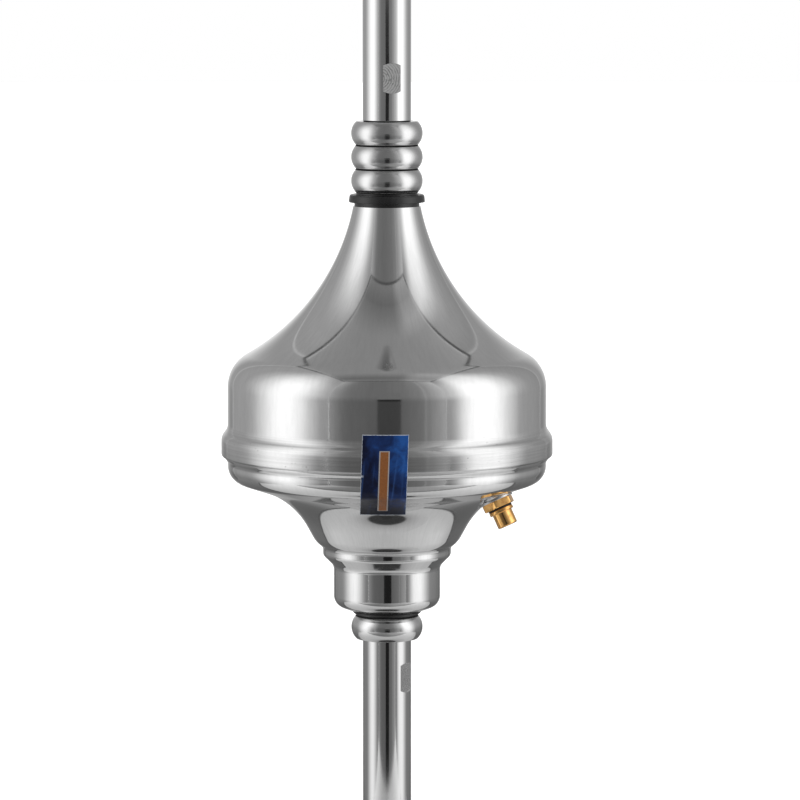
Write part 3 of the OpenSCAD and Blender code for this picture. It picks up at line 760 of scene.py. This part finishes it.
def bead(z):
    bulge = RING_R - RING_EDGE_R
    side_r = (RING_H ** 2 / 4 + bulge ** 2) / (2 * bulge)
    side_c = Vector((RING_R - side_r, z + RING_H / 2))
    side_a = asin((RING_H / 2 - RING_ROUND) / (side_r - RING_ROUND))
    low_c = side_c + (side_r - RING_ROUND) * out(-side_a)
    high_c = side_c + (side_r - RING_ROUND) * out(side_a)
    return ([Vector((bore_r, z))]
            + arc(low_c, RING_ROUND, -90, -side_a, 6)
            + arc(side_c, side_r, -side_a, side_a, 40)[1:-1]
            + arc(high_c, RING_ROUND, side_a, 90, 6)
            + [Vector((bore_r, z + RING_H))])


for name, node, z, mat in (("top_bead", "bead_ring_upper", z_rings + 2 * RING_H, mat_ring),
                           ("mid_bead", "bead_ring_middle", z_rings + RING_H, mat_ring),
                           ("low_bead", "bead_ring_lower", z_rings, mat_ring),
                           ("collar_bead", "mast_collar", MAST_LEN, mat_collar)):
    place(lathe(name, bead(z), even(RING_SIDES), sharp=28), node, "satin_steel", mat)

# Insulators
neck_in = bell_c[0] - (BELL_R + WALL) * cos(bell_top(WALL))
upper_r = neck_in - SPIGOT_FIT
upper_end = z_neck - SPIGOT_LEN
upper_line = rounded([(bore_r, upper_end), (upper_r, upper_end), (upper_r, z_neck), (STEP_R, z_neck),
                      (STEP_R, z_flange0), (FLANGE_R, z_flange0), (FLANGE_R - FLANGE_LEAN, z_flange1),
                      (RING_EDGE_R, z_flange1), (RING_EDGE_R, z_rings), (bore_r, z_rings)],
                     {5: 0.3, 6: FLANGE_ROUND, 7: 0.2}, 6)
upper_bush = lathe("upper_bush", upper_line, even(RING_SIDES), sharp=35)
place(upper_bush, "upper_insulator", "insulator_black", mat_black)
lower_r = CUP_HOLE_R - SPIGOT_FIT
lower_end = z_seat + SPIGOT_LEN
lower_line = rounded([(bore_r, z_low), (RING_EDGE_R, z_low), (RIM_R, z_seat), (lower_r, cup_under(lower_r)),
                      (lower_r, lower_end), (bore_r, lower_end)], {2: 0.25}, 4)
lower_bush = lathe("lower_bush", lower_line, even(RING_SIDES), sharp=35)
place(lower_bush, "lower_insulator", "insulator_black", mat_black)


# Rods with milled flats

def flats(z, turn):
    """Closed forms that cut a pair of opposite flats, each with two arched ends."""
    above = 2.0
    steps = 48
    lens = FLAT_END_R - FLAT_H / 2
    half = acos(lens / FLAT_END_R)
    shape = [Vector((p[0], p[1] - lens)) for p in arc((0, 0), FLAT_END_R, 90 + half, 90 - half, steps)]
    shape += [Vector((p[0], -p[1])) for p in shape[-2:0:-1]]
    form = bmesh.new()
    for side in (0, 180):
        spin = Matrix.Rotation(math.radians(turn + side), 4, "Z")
        deep, high = ([form.verts.new(spin @ Vector((p[0], y, p[1] + z)) * MM) for p in shape]
                      for y in (FLAT_DEPTH - ROD_R, -ROD_R - above))
        form.faces.new(deep)
        form.faces.new(high[::-1])
        for i in range(len(shape)):
            j = (i + 1) % len(shape)
            form.faces.new((deep[j], deep[i], high[i], high[j]))
    return form


def rod(name, line, flat_z, turn, node, mat, mat_flat):
    """A bar whose flats have a material of their own."""
    sharp = 12
    plane_slack = 1e-5
    normal_slack = 1e-3
    obj = lathe(name, line, even(ROD_SIDES), closed=False, sharp=sharp)
    carve(obj, flats(flat_z, turn))
    place(obj, node, "polished_steel", mat, mat_flat)
    facing = Matrix.Rotation(math.radians(turn), 3, "Z") @ Vector((0, -1, 0))
    for face in obj.data.polygons:
        off_plane = abs(abs(face.center.dot(facing)) - (ROD_R - FLAT_DEPTH) * MM)
        off_normal = abs(abs(face.normal.dot(facing)) - 1)
        face.material_index = 1 if off_plane < plane_slack and off_normal < normal_slack else 0
    obj.data.shade_smooth()
    obj.data.set_sharp_from_angle(angle=math.radians(sharp))


shank = SPIGOT_LEN + BAR_GAP + THREAD_DEPTH
taper_a = math.degrees(math.atan2(ROD_R - POINT_R, POINT_LEN))
tip_line = ([Vector((0, z_neck - shank)), Vector((THREAD_R, z_neck - shank)), Vector((THREAD_R, z_top)),
             Vector((ROD_R - FOOT_CHAMFER, z_top))]
            + between((ROD_R, z_top + FOOT_CHAMFER), (ROD_R, z_tip - POINT_LEN), 12)
            + arc((0, z_tip - POINT_R), POINT_R, taper_a, 90, 10)[:-1]
            + [Vector((0, z_tip))])
rod("tip_bar", tip_line, z_tip_flat, TIP_FLAT_TURN, "tip_rod", mat_rod, mat_flat_tip)
mast_line = ([Vector((0, 0)), Vector((ROD_R - MAST_CHAMFER, 0))]
             + between((ROD_R, MAST_CHAMFER), (ROD_R, MAST_LEN - FOOT_CHAMFER), 8)
             + [Vector((ROD_R - FOOT_CHAMFER, MAST_LEN)), Vector((THREAD_R, MAST_LEN)),
                Vector((THREAD_R, z_seat + shank)), Vector((0, z_seat + shank))])
rod("mast_bar", mast_line, z_mast_flat, MAST_FLAT_TURN, "mast_rod", mat_rod, mat_flat_mast)


# Port

def at_port(obj):
    obj.data.transform(port_frame)
    obj.data.update()
    return obj


def hex_bush(name):
    """Hex with turned-off corners on a plain shank, with a screw hole."""
    sides = PORT_SIDES
    corner_cut = 0.12
    edge_r = HEX_AF / 2 + 0.35
    edge_h = 0.3
    turn = math.radians(HEX_TURN + 30)
    sixth = math.pi / 3
    form = bmesh.new()

    def full(angle):
        off = (angle + sixth / 2) % sixth - sixth / 2
        return min(HEX_AF / 2 / math.cos(off), HEX_AF / 2 / cos(30) - corner_cut)

    def eased(angle):
        return min(full(angle), edge_r)

    def shank_side(angle):
        return SHANK_R

    def hole_side(angle):
        return SCREW_R + THREAD_FIT

    def ring(z, radius):
        points = [(radius(a) * math.cos(a + turn), radius(a) * math.sin(a + turn), z) for a in even(sides)]
        return [form.verts.new(Vector(point) * MM) for point in points]

    loops = [ring(shank_end, shank_side), ring(hex_z, shank_side), ring(hex_z, eased),
             ring(hex_z + edge_h, full), ring(seal_z - edge_h, full), ring(seal_z, eased),
             ring(seal_z, hole_side), ring(seal_z - SCREW_LEN - SCREW_SPARE, hole_side)]
    for low, high in zip(loops, loops[1:]):
        for i in range(sides):
            j = (i + 1) % sides
            form.faces.new((low[i], low[j], high[j], high[i]))
    form.faces.new(loops[0])
    form.faces.new(loops[-1])
    return finish_mesh(bpy.data.meshes.new(name), form, sharp=18)


washer_in = SHANK_R + BORE_FIT
washer_line = rounded([(washer_in, PAD_LIFT), (WASHER_R, PAD_LIFT), (WASHER_R, hex_z), (washer_in, hex_z)],
                      {1: 0.2, 2: 0.25}, 4)
washer = lathe("port_ring", washer_line, even(PORT_SIDES), sharp=35)
place(at_port(washer), "port_washer", "satin_steel", mat_washer)
seal_in = SCREW_R + BORE_FIT
seal_line = ([Vector((seal_in, seal_z))]
             + arc((SEAL_R - SEAL_T / 2, seal_z + SEAL_T / 2), SEAL_T / 2, -90, 90, 14)
             + [Vector((seal_in, flange_z))])
seal = lathe("port_o_ring", seal_line, even(PORT_SIDES), sharp=50)
place(at_port(seal), "port_seal", "seal_rubber", mat_rubber)
plug_line = rounded([(0, seal_z - SCREW_LEN), (SCREW_R, seal_z - SCREW_LEN), (SCREW_R, flange_z),
                     (PLUG_FLANGE_R, flange_z), (PLUG_FLANGE_R, barrel_z), (BARREL_R, barrel_z),
                     (BARREL_R, barrel_end), (0, barrel_end)],
                    {3: 0.25, 4: 0.3, 5: 0.2, 6: BARREL_ROUND}, 5)
plug = lathe("port_stopper", plug_line, even(PORT_SIDES), closed=False, sharp=40)
place(at_port(plug), "port_plug", "brass", mat_brass)
place(at_port(hex_bush("port_hex")), "port_bush", "brass", mat_brass)


# Label

def label_line(lift):
    """Label's outline, raised from the surfaces that it lies on and stretched over the hollows."""
    top = Vector((DRUM_R + lift, z_drum0 + LABEL_TOP))
    drum_p = Vector((DRUM_R + lift, z_drum0))
    ease_c = Vector((bead_r - EASE_R, z_bead1))
    to_drum = drum_p - ease_c
    top_a = slope_of(to_drum) - acos((EASE_R + lift) / to_drum.length)
    edge_c = Vector((bead_r - BEAD_EDGE, z_bead0 + BEAD_EDGE))
    to_edge = edge_c - dish_c
    low_a = acos((DISH_ROUND - BEAD_EDGE) / to_edge.length) - slope_of(to_edge)
    over = ease_c + (EASE_R + lift) * out(top_a)
    crest = Vector((bead_r + lift, z_bead1))
    foot = Vector((bead_r + lift, z_bead0 + BEAD_EDGE))
    under = edge_c + (BEAD_EDGE + lift) * out(-low_a)
    corner = dish_c + (DISH_ROUND + lift) * out(-low_a)
    return (between(top, drum_p, 6)[:-1]
            + between(drum_p, over, 10)[:-1]
            + arc(ease_c, EASE_R + lift, top_a, 0, 8)
            + between(crest, foot, 8)[1:-1]
            + arc(edge_c, BEAD_EDGE + lift, 0, -low_a, 6)
            + between(under, corner, 10)[1:-1]
            + arc(dish_c, DISH_ROUND + lift, -low_a, -dish_lean, 24)
            + arc(flare_c, FLARE_R - lift, 180 - dish_lean, 90 + LABEL_END, 24))


def label(name):
    """A closed strip with a face outside, one inside and a rim, and print coordinates."""
    cols = 25
    outer = label_line(GLUE_T + LABEL_T)
    rows = len(outer)
    run = [0.0]
    for start, end in zip(outer, outer[1:]):
        run.append(run[-1] + (end - start).length)
    verts = []
    prints = []
    for line in (outer, label_line(GLUE_T)):
        for (radius, height), along in zip(line, run):
            middle = LABEL_SHIFT + (height - z_bead0) * tan(LABEL_TILT)
            for j in range(cols):
                across = j / (cols - 1)
                x = middle + (across - 0.5) * LABEL_W / cos(LABEL_TILT)
                verts.append(Vector((x, -math.sqrt(radius ** 2 - x * x), height)) * MM)
                prints.append((across, 1 - along / run[-1]))
    back = rows * cols
    faces = []
    for i in range(rows - 1):
        for j in range(cols - 1):
            a = i * cols + j
            face = (a, a + 1, a + cols + 1, a + cols)
            faces.append(face)
            faces.append([back + v for v in (face[0], face[3], face[2], face[1])])
    rim = (list(range(cols))
           + [i * cols + cols - 1 for i in range(1, rows)]
           + [(rows - 1) * cols + j for j in range(cols - 2, -1, -1)]
           + [i * cols for i in range(rows - 2, 0, -1)])
    for a, b in zip(rim, rim[1:] + rim[:1]):
        faces.append((a, b, back + b, back + a))
    obj = add_mesh(name, verts, faces, sharp=40)
    layer = obj.data.uv_layers.new(name="print")
    for loop in obj.data.loops:
        layer.data[loop.index].uv = prints[loop.vertex_index]
    return obj


place(label("seam_strip"), "seam_label", "label_film", printed("label_print"))

# CAD nodes that stay: the pieces inside the head
for name in ("seam_seal", "coupling_bar", "module_pad", "trigger_module", "module_washer", "earth_tag",
             "module_nut", "earth_lead", "body_lead", "port_tag", "port_lock_nut"):
    held = nodes[name].data.materials
    slot = held[0].name.split(".")[0]
    held.clear()
    held.append(mat_inner[slot])

# Studio: a light tent whose walls are seen in the metal and not by the camera, with sizes in metres
TENT_LEFT = -0.40
TENT_RIGHT = 0.42
TENT_FRONT = -0.48
TENT_BACK = 0.55
TENT_TOP = 1.07
LEFT_GAP = 0.003
RIGHT_GAP = 0.001
OPENING_LEFT = -0.052
OPENING_RIGHT = 0.08
OPENING_TOP = 0.45
ROOM_LEFT = -0.5
ROOM_RIGHT = 0.6
ROOM_FRONT = -1.9
ROOM_TOP = 1.6
SHEET_FRONT = -0.155
SHEET_BACK = 0.16
SHEET_Z = 0.003
SHEET_SHEEN_GLOW = 1.25
SHEET_IOR = 1.45
MAST_SHADOW_R = 0.1
MAST_SHADOW_Y = -0.005
MAST_SHADOW_Z = 0.004
FLOOR_R = 9.0
FLOOR_GLOW = 0.52

# Layers of light on a card, each with stops of (place, level) across it and up it
EVEN = [(0, 1), (1, 1)]
SIDE_UP = [(0, 0.6), (0.075, 0.66), (0.17, 0.97), (0.3, 1), (0.952, 1), (0.96, 0.3), (1, 0.3)]
FRONT_UP = [(0, 0.72), (0.2, 0.74), (0.33, 1), (0.955, 1), (0.965, 0.45), (1, 0.45)]
left_cloth = (
    [(0, 0.42), (0.75, 0.45), (0.955, 0.43), (0.965, 0.62), (0.98, 0.62), (0.99, 0.4), (1, 0.4)],
    SIDE_UP)
left_lamp = (
    [(0.08, 0), (0.2, 0.5), (0.29, 1.02), (0.37, 1.14), (0.45, 0.8), (0.55, 0.2), (0.65, 0)],
    [(0, 0.82), (0.18, 1), (0.42, 1), (0.51, 0.85), (0.61, 0.66), (0.7, 0.45), (0.84, 0.25), (0.95, 0.15)])
left_fill = (
    [(0, 0.1), (0.07, 0.24), (0.15, 0.32), (0.24, 0.26), (0.35, 0.02), (0.45, 0.04), (0.57, 0.14), (0.7, 0)],
    [(0, 0), (0.18, 0.1), (0.33, 1), (0.5, 1), (0.7, 0.4), (0.9, 0)])
right_cloth = (
    [(0, 0.4), (0.7, 0.42), (0.87, 0.37), (0.955, 0.38),
     (0.965, 0.55), (0.98, 0.55), (0.99, 0.36), (1, 0.36)],
    SIDE_UP)
right_lamp = (
    [(0.04, 0), (0.12, 0.34), (0.2, 0.95), (0.29, 1.2), (0.37, 1.2), (0.45, 0.72), (0.55, 0.14), (0.65, 0)],
    [(0, 0.82), (0.18, 1), (0.42, 1), (0.56, 0.84), (0.72, 0.66), (0.9, 0.46), (0.95, 0.4)])
right_fill = (
    [(0, 0.24), (0.05, 0.34), (0.12, 0.32), (0.22, 0.2), (0.35, 0.02), (0.46, 0.14), (0.57, 0.16), (0.7, 0)],
    [(0, 0), (0.18, 0.1), (0.33, 1), (0.5, 1), (0.7, 0.6), (0.9, 0)])
back_cloth = (
    [(0, 0.42), (0.5, 0.34), (1, 0.4)],
    [(0, 0.38), (0.08, 0.48), (0.18, 0.85), (0.24, 1), (0.952, 1), (0.96, 0.35), (1, 0.35)])
back_lamp = (
    [(0, 0), (0.14, 0.06), (0.31, 0.5), (0.47, 0.66), (0.64, 0.42), (0.86, 0.04), (1, 0)],
    [(0, 0.3), (0.14, 0.55), (0.24, 1), (0.34, 0.95), (0.5, 0.45), (0.75, 0)])
front_left_cloth = ([(0, 0.5), (0.35, 0.27), (0.78, 0.205), (1, 0.198)], FRONT_UP)
front_right_cloth = (
    [(0, 0.222), (0.16, 0.25), (0.44, 0.33), (0.455, 0.46),
     (0.47, 0.46), (0.485, 0.38), (0.59, 0.43), (1, 0.68)],
    FRONT_UP)
front_over_cloth = ([(0, 0.198), (1, 0.222)], [(0, 1), (0.922, 1), (0.94, 0.45), (1, 0.45)])
room_wall = (
    [(0, 0.195), (1, 0.21)],
    [(0, 0.34), (0.07, 0.36), (0.11, 0.2), (0.225, 0.2), (0.24, 1), (1, 1)])
room_ground = ([(0, 0.03), (0.5, 0.016), (1, 0.03)], EVEN)
top_cloth = (
    [(0, 0.56), (0.012, 0.56), (0.022, 0.38), (0.5, 0.34), (0.978, 0.42), (0.988, 0.56), (1, 0.56)],
    [(0, 0.78), (0.06, 0.7), (0.15, 0.6), (0.2, 0.63), (0.45, 1), (1, 1)])
top_lamp = ([(0.6, 0), (0.75, 0.16), (1, 0.16)], [(0, 1), (0.35, 1), (0.5, 0)])
sheet_ground = (
    [(0, 0.6), (0.5, 0.62), (1, 0.6)],
    [(0, 1), (0.94, 1), (0.955, 0.22), (1, 0.22)])
sheet_lamps = (
    [(0, 0.62), (0.12, 0.5), (0.2, 0.36), (0.27, 0.22), (0.34, 0.1), (0.49, 0),
     (0.63, 0.14), (0.7, 0.25), (0.78, 0.4), (0.86, 0.46), (1, 0.48)],
    [(0, 1), (0.3, 0.85), (0.48, 0.8), (0.67, 0.5), (0.86, 0.1), (1, 0)])
sheet_near = (
    [(0, 0.7), (0.12, 0.44), (0.27, 0.21), (0.49, 0.2), (0.57, 0.31),
     (0.63, 0.34), (0.78, 0.44), (0.88, 0.6), (1, 0.8)],
    [(0, 0.75), (0.5, 0.9), (0.9, 1), (0.94, 0.55), (1, 0.5)])
sheet_far = (
    [(0, 0.27), (0.2, 0.19), (0.36, 0.17), (0.41, 0.35), (0.49, 0.4),
     (0.57, 0.35), (0.62, 0.17), (0.8, 0.18), (1, 0.24)],
    EVEN)


def glow(name, layers, gloss):
    """A card's light: the sum of its layers and a painted sheen that grows toward grazing."""
    mat, tree = material(name)
    u, v = tree.uv("card")
    levels = []
    for across, up in layers:
        peak = max(level for stop, level in across)
        shares = [(stop, level / peak) for stop, level in across]
        levels.append((tree.times(tree.ramp(u, shares), tree.ramp(v, up)), peak))
    if gloss:
        levels.append((tree.gloss(), gloss))
    tree.emission(*levels)
    return mat


def hang(obj, lights=False):
    """Show a card only in reflections and, where it lights, in diffuse light."""
    obj.visible_camera = False
    obj.visible_shadow = False
    obj.visible_diffuse = lights


def card(name, corners, layers, lights, gloss):
    mesh = bpy.data.meshes.new(name)
    mesh.from_pydata([Vector(corner) for corner in corners], [], [(0, 1, 2, 3)])
    layer = mesh.uv_layers.new(name="card")
    for loop, uv in zip(mesh.loops, ((0, 0), (1, 0), (1, 1), (0, 1))):
        layer.data[loop.index].uv = uv
    mesh.materials.append(glow(name, layers, gloss))
    hang(add_object(mesh), lights)


def wall(name, start, end, low, high, *layers, lights=False):
    """An upright card from one (x, y) to another."""
    card(name, [(*start, low), (*end, low), (*end, high), (*start, high)], layers, lights, gloss=0.0)


def level(name, left, right, front, back, z, *layers, lights=False, gloss=0.0):
    """A card that lies flat."""
    corners = [(left, front, z), (right, front, z), (right, back, z), (left, back, z)]
    card(name, corners, layers, lights, gloss)


def disc(name, radius, z, sides, mat):
    mesh = bpy.data.meshes.new(name)
    rim = [Vector((radius * math.cos(a), radius * math.sin(a), z)) for a in even(sides)]
    mesh.from_pydata(rim, [], [list(range(sides))])
    mesh.materials.append(mat)
    return add_object(mesh)


wall("tent_left", (TENT_LEFT, TENT_FRONT + LEFT_GAP), (TENT_LEFT, TENT_BACK), 0, TENT_TOP,
     left_cloth, left_lamp, left_fill, lights=True)
wall("tent_right", (TENT_RIGHT, TENT_FRONT + RIGHT_GAP), (TENT_RIGHT, TENT_BACK), 0, TENT_TOP,
     right_cloth, right_lamp, right_fill, lights=True)
wall("tent_back", (TENT_LEFT, TENT_BACK), (TENT_RIGHT, TENT_BACK), 0, TENT_TOP, back_cloth, back_lamp)
wall("tent_front_left", (TENT_LEFT, TENT_FRONT), (OPENING_LEFT, TENT_FRONT), 0, TENT_TOP, front_left_cloth)
wall("tent_front_right", (OPENING_RIGHT, TENT_FRONT), (TENT_RIGHT, TENT_FRONT), 0, TENT_TOP,
     front_right_cloth)
wall("tent_front_over", (OPENING_LEFT, TENT_FRONT), (OPENING_RIGHT, TENT_FRONT), OPENING_TOP, TENT_TOP,
     front_over_cloth)
level("tent_top", TENT_LEFT, TENT_RIGHT, TENT_FRONT, TENT_BACK, TENT_TOP, top_cloth, top_lamp, lights=True)

# The room behind the opening in the front: grey above, dark below
wall("room_front", (ROOM_LEFT, ROOM_FRONT), (ROOM_RIGHT, ROOM_FRONT), 0, ROOM_TOP, room_wall)
level("room_floor", ROOM_LEFT, ROOM_RIGHT, ROOM_FRONT, TENT_FRONT, SHEET_Z, room_ground)

# The sheet on the tent's floor, in three parts from front to back
level("sheet_front", TENT_LEFT, TENT_RIGHT, TENT_FRONT, SHEET_FRONT, SHEET_Z, sheet_near, gloss=SHEET_SHEEN_GLOW)
level("sheet", TENT_LEFT, TENT_RIGHT, SHEET_FRONT, SHEET_BACK, SHEET_Z, sheet_ground, sheet_lamps)
level("sheet_back", TENT_LEFT, TENT_RIGHT, SHEET_BACK, TENT_BACK, SHEET_Z, sheet_far)

# Painted shadow: a dark disc round the mast on the sheet, standing for the object's shadow on the floor as
# seen in reflections
mat_mast_shadow, tree = material("foot_shade")
from_mast = tree.times(tree.turned()[3], 1 / MAST_SHADOW_R)
mast_shadow_levels = [(0, 0.01), (0.4, 0.01), (0.46, 0.36), (0.6, 0.46), (0.8, 0.56), (1, 0.6)]
tree.emission((tree.ramp(from_mast, mast_shadow_levels, "LINEAR"), 1.0), (tree.gloss(), SHEET_SHEEN_GLOW))
foot = disc("foot_shade", MAST_SHADOW_R, MAST_SHADOW_Z, 64, mat_mast_shadow)
foot.location.y = MAST_SHADOW_Y
hang(foot)

# White surroundings
world = bpy.data.worlds.new("studio")
scene.world = world
world.use_nodes = True
tree = Tree(world.node_tree)
white = tree.add("ShaderNodeBackground", {"Color": (1, 1, 1, 1), "Strength": 1.0})
tree.add("ShaderNodeOutputWorld", {"Surface": white.outputs[0]})

# Pale floor, a little brighter to the camera and in reflections
mat_floor, tree = material("floor_pale")
rays = tree.add("ShaderNodeLightPath").outputs
kinds = ("Is Camera Ray", "Is Glossy Ray", "Is Transmission Ray")
seen = tree.math("MINIMUM", tree.total(*((rays[kind], 1.0) for kind in kinds)), 1.0)
paper = tree.mix(tree.noise(tree.mapped(), scale=900), (0.84, 0.84, 0.84), (0.87, 0.87, 0.87))
matt = tree.add("ShaderNodeBsdfDiffuse", {"Color": paper, "Roughness": 0.6})
shine = tree.add("ShaderNodeEmission", {"Strength": tree.times(seen, FLOOR_GLOW)})
both = tree.add("ShaderNodeAddShader", {0: matt.outputs[0], 1: shine.outputs[0]})
tree.add("ShaderNodeOutputMaterial", {"Surface": both.outputs[0]})
disc("floor", FLOOR_R, 0, 96, mat_floor)

# Camera, at the photo's height and angle
PITCH = 6.0
AIM = Vector((0.0054, 0, 0.2494))
DISTANCE = 2.1
FIELD = 9.01
SENSOR = 36.0
cam_data = bpy.data.cameras.new("camera")
cam_data.sensor_width = SENSOR
cam_data.lens = SENSOR / 2 / tan(FIELD / 2)
cam_data.clip_end = 50
cam = bpy.data.objects.new("camera", cam_data)
scene.collection.objects.link(cam)
cam.location = AIM + DISTANCE * Vector((0, -cos(PITCH), sin(PITCH)))
cam.rotation_euler = (math.radians(90 - PITCH), 0, 0)
scene.camera = cam
scene.view_settings.view_transform = "Standard"
